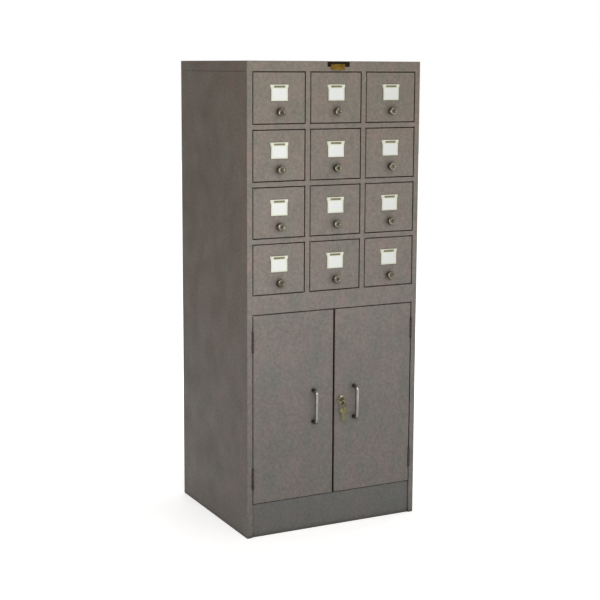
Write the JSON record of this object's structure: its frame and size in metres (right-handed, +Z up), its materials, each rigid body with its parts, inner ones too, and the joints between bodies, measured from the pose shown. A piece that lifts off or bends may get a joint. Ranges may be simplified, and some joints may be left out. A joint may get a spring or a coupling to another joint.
{
  "type": "card index cabinet",
  "caption": "Free-standing sheet steel cabinet: rows of card index drawers with label holders and round knobs over a cupboard with two hinged, lockable doors and a shelf",
  "frame": {"origin": "centre of the bounding box at floor level, handles and keys included", "axes": "X to the cabinet's right as seen from the front, Y to the back, Z up; the drawers and doors face -Y"},
  "size_m": [0.54, 0.491, 1.32],
  "materials": {
    "paint": "satin grey stove enamel",
    "zinc_steel": "zinc plated",
    "hinge_steel": "dark plated steel",
    "handle_chrome": "polished",
    "label_nickel": "nickel plated, satin",
    "lock_brass": "worn, nickel washed",
    "key_brass": "worn"
  },
  "bodies": {
    "cabinet": {"left_side_panel": "paint", "right_side_panel": "paint", "top_cover": "paint", "back_panel": "paint", "drawer_rails": "paint", "column_partitions": "paint", "drawer_runners": "zinc_steel", "drawer_deck": "paint", "cupboard_floor": "paint", "plinth_panel": "paint", "cupboard_shelf": "paint", "shelf_brackets": "paint", "frame_hinges": "hinge_steel"},
    "drawer_r1c1": {"drawer_r1c1": "paint", "label_holder_r1c1": "label_nickel"},
    "drawer_r1c2": {"drawer_r1c2": "paint", "label_holder_r1c2": "label_nickel"},
    "drawer_r1c3": {"drawer_r1c3": "paint", "label_holder_r1c3": "label_nickel"},
    "drawer_r2c1": {"drawer_r2c1": "paint", "label_holder_r2c1": "label_nickel"},
    "drawer_r2c2": {"drawer_r2c2": "paint", "label_holder_r2c2": "label_nickel"},
    "drawer_r2c3": {"drawer_r2c3": "paint", "label_holder_r2c3": "label_nickel"},
    "drawer_r3c1": {"drawer_r3c1": "paint", "label_holder_r3c1": "label_nickel"},
    "drawer_r3c2": {"drawer_r3c2": "paint", "label_holder_r3c2": "label_nickel"},
    "drawer_r3c3": {"drawer_r3c3": "paint", "label_holder_r3c3": "label_nickel"},
    "drawer_r4c1": {"drawer_r4c1": "paint", "label_holder_r4c1": "label_nickel"},
    "drawer_r4c2": {"drawer_r4c2": "paint", "label_holder_r4c2": "label_nickel"},
    "drawer_r4c3": {"drawer_r4c3": "paint", "label_holder_r4c3": "label_nickel"},
    "left_door": {"left_door": "paint", "left_door_hinges": "hinge_steel", "left_handle": "handle_chrome"},
    "right_door": {"right_door": "paint", "right_door_hinges": "hinge_steel", "right_handle": "handle_chrome", "lock_barrel": "lock_brass"},
    "lock_rotor": {"lock_cam": "lock_brass", "lock_key": "key_brass"},
    "key_ring": {"key_ring": "key_brass"},
    "left_door_bolt": {"left_door_bolt": "zinc_steel"}
  },
  "joints": [
    {"name": "drawer_r1c1_slide", "type": "slide", "parent": "cabinet", "child": "drawer_r1c1", "axis": [0, -1, 0], "range_m": [0, 0.35]},
    {"name": "drawer_r1c2_slide", "type": "slide", "parent": "cabinet", "child": "drawer_r1c2", "axis": [0, -1, 0], "range_m": [0, 0.35]},
    {"name": "drawer_r1c3_slide", "type": "slide", "parent": "cabinet", "child": "drawer_r1c3", "axis": [0, -1, 0], "range_m": [0, 0.35]},
    {"name": "drawer_r2c1_slide", "type": "slide", "parent": "cabinet", "child": "drawer_r2c1", "axis": [0, -1, 0], "range_m": [0, 0.35]},
    {"name": "drawer_r2c2_slide", "type": "slide", "parent": "cabinet", "child": "drawer_r2c2", "axis": [0, -1, 0], "range_m": [0, 0.35]},
    {"name": "drawer_r2c3_slide", "type": "slide", "parent": "cabinet", "child": "drawer_r2c3", "axis": [0, -1, 0], "range_m": [0, 0.35]},
    {"name": "drawer_r3c1_slide", "type": "slide", "parent": "cabinet", "child": "drawer_r3c1", "axis": [0, -1, 0], "range_m": [0, 0.35]},
    {"name": "drawer_r3c2_slide", "type": "slide", "parent": "cabinet", "child": "drawer_r3c2", "axis": [0, -1, 0], "range_m": [0, 0.35]},
    {"name": "drawer_r3c3_slide", "type": "slide", "parent": "cabinet", "child": "drawer_r3c3", "axis": [0, -1, 0], "range_m": [0, 0.35]},
    {"name": "drawer_r4c1_slide", "type": "slide", "parent": "cabinet", "child": "drawer_r4c1", "axis": [0, -1, 0], "range_m": [0, 0.35]},
    {"name": "drawer_r4c2_slide", "type": "slide", "parent": "cabinet", "child": "drawer_r4c2", "axis": [0, -1, 0], "range_m": [0, 0.35]},
    {"name": "drawer_r4c3_slide", "type": "slide", "parent": "cabinet", "child": "drawer_r4c3", "axis": [0, -1, 0], "range_m": [0, 0.35]},
    {"name": "left_door_hinge", "type": "hinge", "parent": "cabinet", "child": "left_door", "pos_m": [-0.25275, -0.2195, 0.364], "axis": [0, 0, -1], "range_deg": [0, 110]},
    {"name": "right_door_hinge", "type": "hinge", "parent": "cabinet", "child": "right_door", "pos_m": [0.25275, -0.2195, 0.364], "axis": [0, 0, 1], "range_deg": [0, 110]},
    {"name": "lock_turn", "type": "hinge", "parent": "right_door", "child": "lock_rotor", "pos_m": [0.022, -0.2195, 0.368], "axis": [0, 1, 0], "range_deg": [0, 90]},
    {"name": "key_ring_swing", "type": "hinge", "parent": "lock_rotor", "child": "key_ring", "pos_m": [0.022, -0.2375, 0.3661], "axis": [-1, 0, 0], "range_deg": [-8, 75]},
    {"name": "left_door_bolt_slide", "type": "slide", "parent": "left_door", "child": "left_door_bolt", "axis": [0, 0, 1], "range_m": [0, 0.011]}
  ]
}
